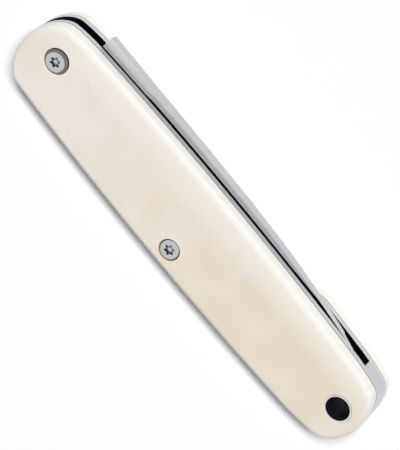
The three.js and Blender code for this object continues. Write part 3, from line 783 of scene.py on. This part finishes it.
# The pivot screw's chamfer is painted a darker grey as a dark reflection.
paint(front_pivot_screw, steel_painted_as_mid_shade, on_a_chamfer)
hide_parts("pivot_screw_front")
back_pivot_screw = screw("pivot_screw_far", PIVOT, PIVOT_BACK_DEPTH, -1, **PIVOT_SCREW)
paint(back_pivot_screw, steel_painted_as_mid_shade, on_a_chamfer)
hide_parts("pivot_screw_back")
front_centre_screw = screw("centre_screw_near", CENTRE, FRONT - CENTRE_DEPTH, 1, **CENTRE_SCREW)
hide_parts("centre_screw_front")
back_centre_screw = screw("centre_screw_far", CENTRE, CENTRE_DEPTH, -1, **CENTRE_SCREW)
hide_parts("centre_screw_back")

# Lanyard tube
# Thin stainless tube through the whole stack, flared and polished at both ends to hold the covers on.
TUBE_OUTER = 2.87 * MM
TUBE_INNER = 2.52 * MM
TUBE_FLARE = 0.14 * MM
TUBE_SUNK = 0.03 * MM
TUBE_BEVEL = 0.05 * MM
TUBE_COLOUR = "#DCDDDF"
TUBE_GRAIN = (3 * MM, 0.1 * MM)

low = TUBE_SUNK
high = FRONT - TUBE_SUNK
tube = turned("flared_steel_tube", TUBE, [
    (TUBE_INNER, low + TUBE_FLARE_HEIGHT), (TUBE_INNER + TUBE_FLARE, low), (TUBE_OUTER + TUBE_FLARE, low),
    (TUBE_OUTER, low + TUBE_FLARE_HEIGHT), (TUBE_OUTER, high - TUBE_FLARE_HEIGHT),
    (TUBE_OUTER + TUBE_FLARE, high), (TUBE_INNER + TUBE_FLARE, high), (TUBE_INNER, high - TUBE_FLARE_HEIGHT)])
finish_edges(tube, TUBE_BEVEL)
tube_steel = ground_steel("polished_stainless_tube", TUBE_COLOUR, 0.18, TUBE_GRAIN, 2)
tube.data.materials.append(tube_steel)
# Painted shade: the tube's bore gets the darker grey steel.
paint(tube, steel_painted_as_mid_shade, lambda middle, direction: abs(direction.z) < 0.3 and
      (middle.xy - TUBE).length < TUBE_INNER + 1.5 * NEARNESS)
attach(tube, "handle")
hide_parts("lanyard_tube")

# Floor, backdrop and light
# A white table top that shows white and keeps the knife's shadow, a soft lamp 7.5 m long and 20 m off on the
# slot side, which metal doesn't mirror, and an even white room round it.
FLOOR_COLOUR = "#FBFBFB"
FLOOR_LIFT = 0.06
FLOOR_SIZE = 4
FLOOR_HEIGHT = -0.02 * MM
LAMP_DISTANCE = 20
LAMP_LENGTH = 7.5
LAMP_WIDTH = 1.92
LAMP_TILT = math.radians(38.5)
LAMP_POWER = 3800
ROOM_LIGHT = 0.22


def seen_directly(tree):
    """1 for what the camera sees straight, in a mirror or through glass, and 0 for the light that falls."""
    path = add_node(tree, "LightPath", {})
    mirrored = add_node(tree, "Math", {
        0: path.outputs["Is Camera Ray"], 1: path.outputs["Is Glossy Ray"]}, operation="MAXIMUM")
    return add_node(tree, "Math", {
        0: mirrored.outputs[0], 1: path.outputs["Is Transmission Ray"]}, operation="MAXIMUM").outputs[0]


floor_white, tree, shader = new_material("matt_white_table_top")
shader.inputs["Base Color"].default_value = linear(FLOOR_COLOUR)
shader.inputs["Roughness"].default_value = 0.9
shader.inputs["Specular IOR Level"].default_value = 0
lift = add_node(tree, "Math", {0: seen_directly(tree), 1: FLOOR_LIFT}, operation="MULTIPLY")
shader.inputs["Emission Color"].default_value = (1, 1, 1, 1)
tree.links.new(lift.outputs[0], shader.inputs["Emission Strength"])

bpy.ops.object.select_all(action="DESELECT")
bpy.ops.mesh.primitive_plane_add(size=FLOOR_SIZE, location=(0, 0, FLOOR_HEIGHT))
floor = bpy.context.object
floor.name = "floor"
floor.data.materials.append(floor_white)

world = bpy.data.worlds.new("white_room")
bpy.context.scene.world = world
world.use_nodes = True
tree = world.node_tree
strength = add_node(tree, "MapRange", {"Value": seen_directly(tree), "To Min": ROOM_LIGHT, "To Max": 1})
tree.nodes["Background"].inputs["Color"].default_value = (1, 1, 1, 1)
tree.links.new(strength.outputs[0], tree.nodes["Background"].inputs["Strength"])

towards_lamp = Vector((0, math.sin(LAMP_TILT), math.cos(LAMP_TILT)))
bpy.ops.object.light_add(type="AREA", location=towards_lamp * LAMP_DISTANCE, rotation=(-LAMP_TILT, 0, 0))
lamp = bpy.context.object
lamp.name = "soft_lamp"
lamp.data.shape = "RECTANGLE"
lamp.data.size = LAMP_LENGTH
lamp.data.size_y = LAMP_WIDTH
lamp.data.energy = LAMP_POWER
lamp.visible_glossy = False

bpy.context.scene.view_settings.view_transform = "Standard"
